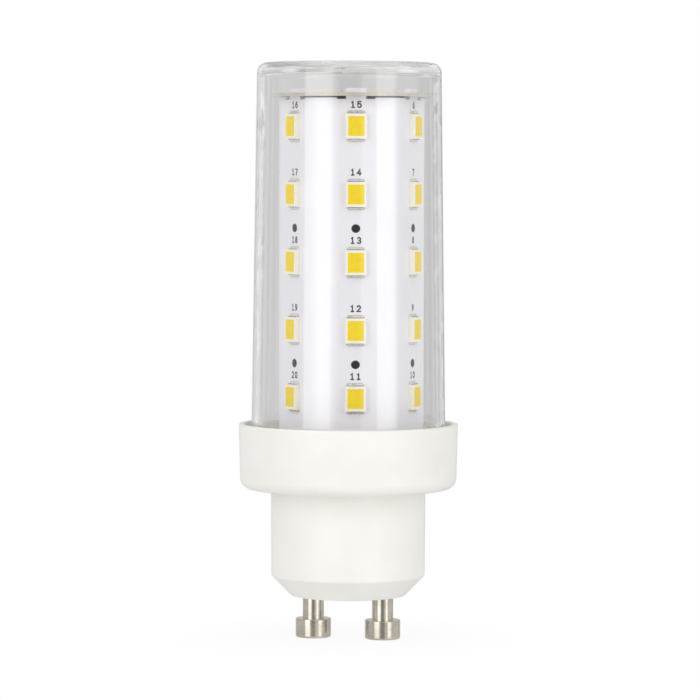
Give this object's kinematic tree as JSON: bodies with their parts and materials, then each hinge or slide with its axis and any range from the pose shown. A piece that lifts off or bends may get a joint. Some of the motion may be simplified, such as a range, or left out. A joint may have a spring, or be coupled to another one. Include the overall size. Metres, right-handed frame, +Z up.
{
  "type": "led tube bulb",
  "caption": "Clear tubular lamp with a folded board of yellow light-emitting chips, on a white collared base with stepped twist-lock contact pins.",
  "frame": {"origin": "midway between the contact pins, level with the bottom faces of their heads", "axes": "+Z up the lamp's axis from the pins to the cover's closed end, X along the line of the pins"},
  "size_m": [0.031, 0.031, 0.0812],
  "materials": {
    "housing_white": "warm white moulded plastic, satin gloss",
    "cover_clear": "clear moulded polycarbonate, polished",
    "pin_nickel": "nickel-plated brass, turned",
    "board_white": "white solder mask on folded aluminium sheet",
    "plate_laminate": "glass-fibre laminate with a bare cream edge",
    "led_white": "white moulded chip package",
    "led_yellow": "yellow phosphor in clear silicone",
    "solder_tin": "tin solder, satin",
    "driver_laminate": "green circuit board laminate",
    "package_black": "black moulded package",
    "resistor_black": "black chip resistor on white ceramic",
    "fuse_coat": "grey-green cement coat",
    "film_case": "red-brown epoxy case",
    "can_sleeve": "aluminium can in a dark shrink sleeve",
    "ferrite_grey": "dark grey ferrite",
    "copper_enamel": "enamelled copper winding",
    "wire_sleeve": "white silicone wire insulation"
  },
  "bodies": {
    "root": {"base_housing": "housing_white", "tube_cover": "cover_clear", "contact_pin_left": "pin_nickel", "contact_pin_right": "pin_nickel", "bottom_plate": "plate_laminate", "led_board": "board_white", "top_plate": "plate_laminate", "plate_solder": "solder_tin", "led_solder": "solder_tin", "driver_board": "driver_laminate", "bridge_rectifier": "package_black", "driver_chip": "package_black", "chip_resistors": "resistor_black", "fuse_resistor": "fuse_coat", "film_capacitor": "film_case", "electrolytic_capacitor": "can_sleeve", "inductor_core": "ferrite_grey", "inductor_winding": "copper_enamel", "driver_leads": "solder_tin", "input_wire_left": "wire_sleeve", "input_wire_right": "wire_sleeve", "led_body_1": "led_white", "led_phosphor_1": "led_yellow", "led_body_2": "led_white", "led_phosphor_2": "led_yellow", "led_body_3": "led_white", "led_phosphor_3": "led_yellow", "led_body_4": "led_white", "led_phosphor_4": "led_yellow", "led_body_5": "led_white", "led_phosphor_5": "led_yellow", "led_body_6": "led_white", "led_phosphor_6": "led_yellow"}
  },
  "joints": []
}
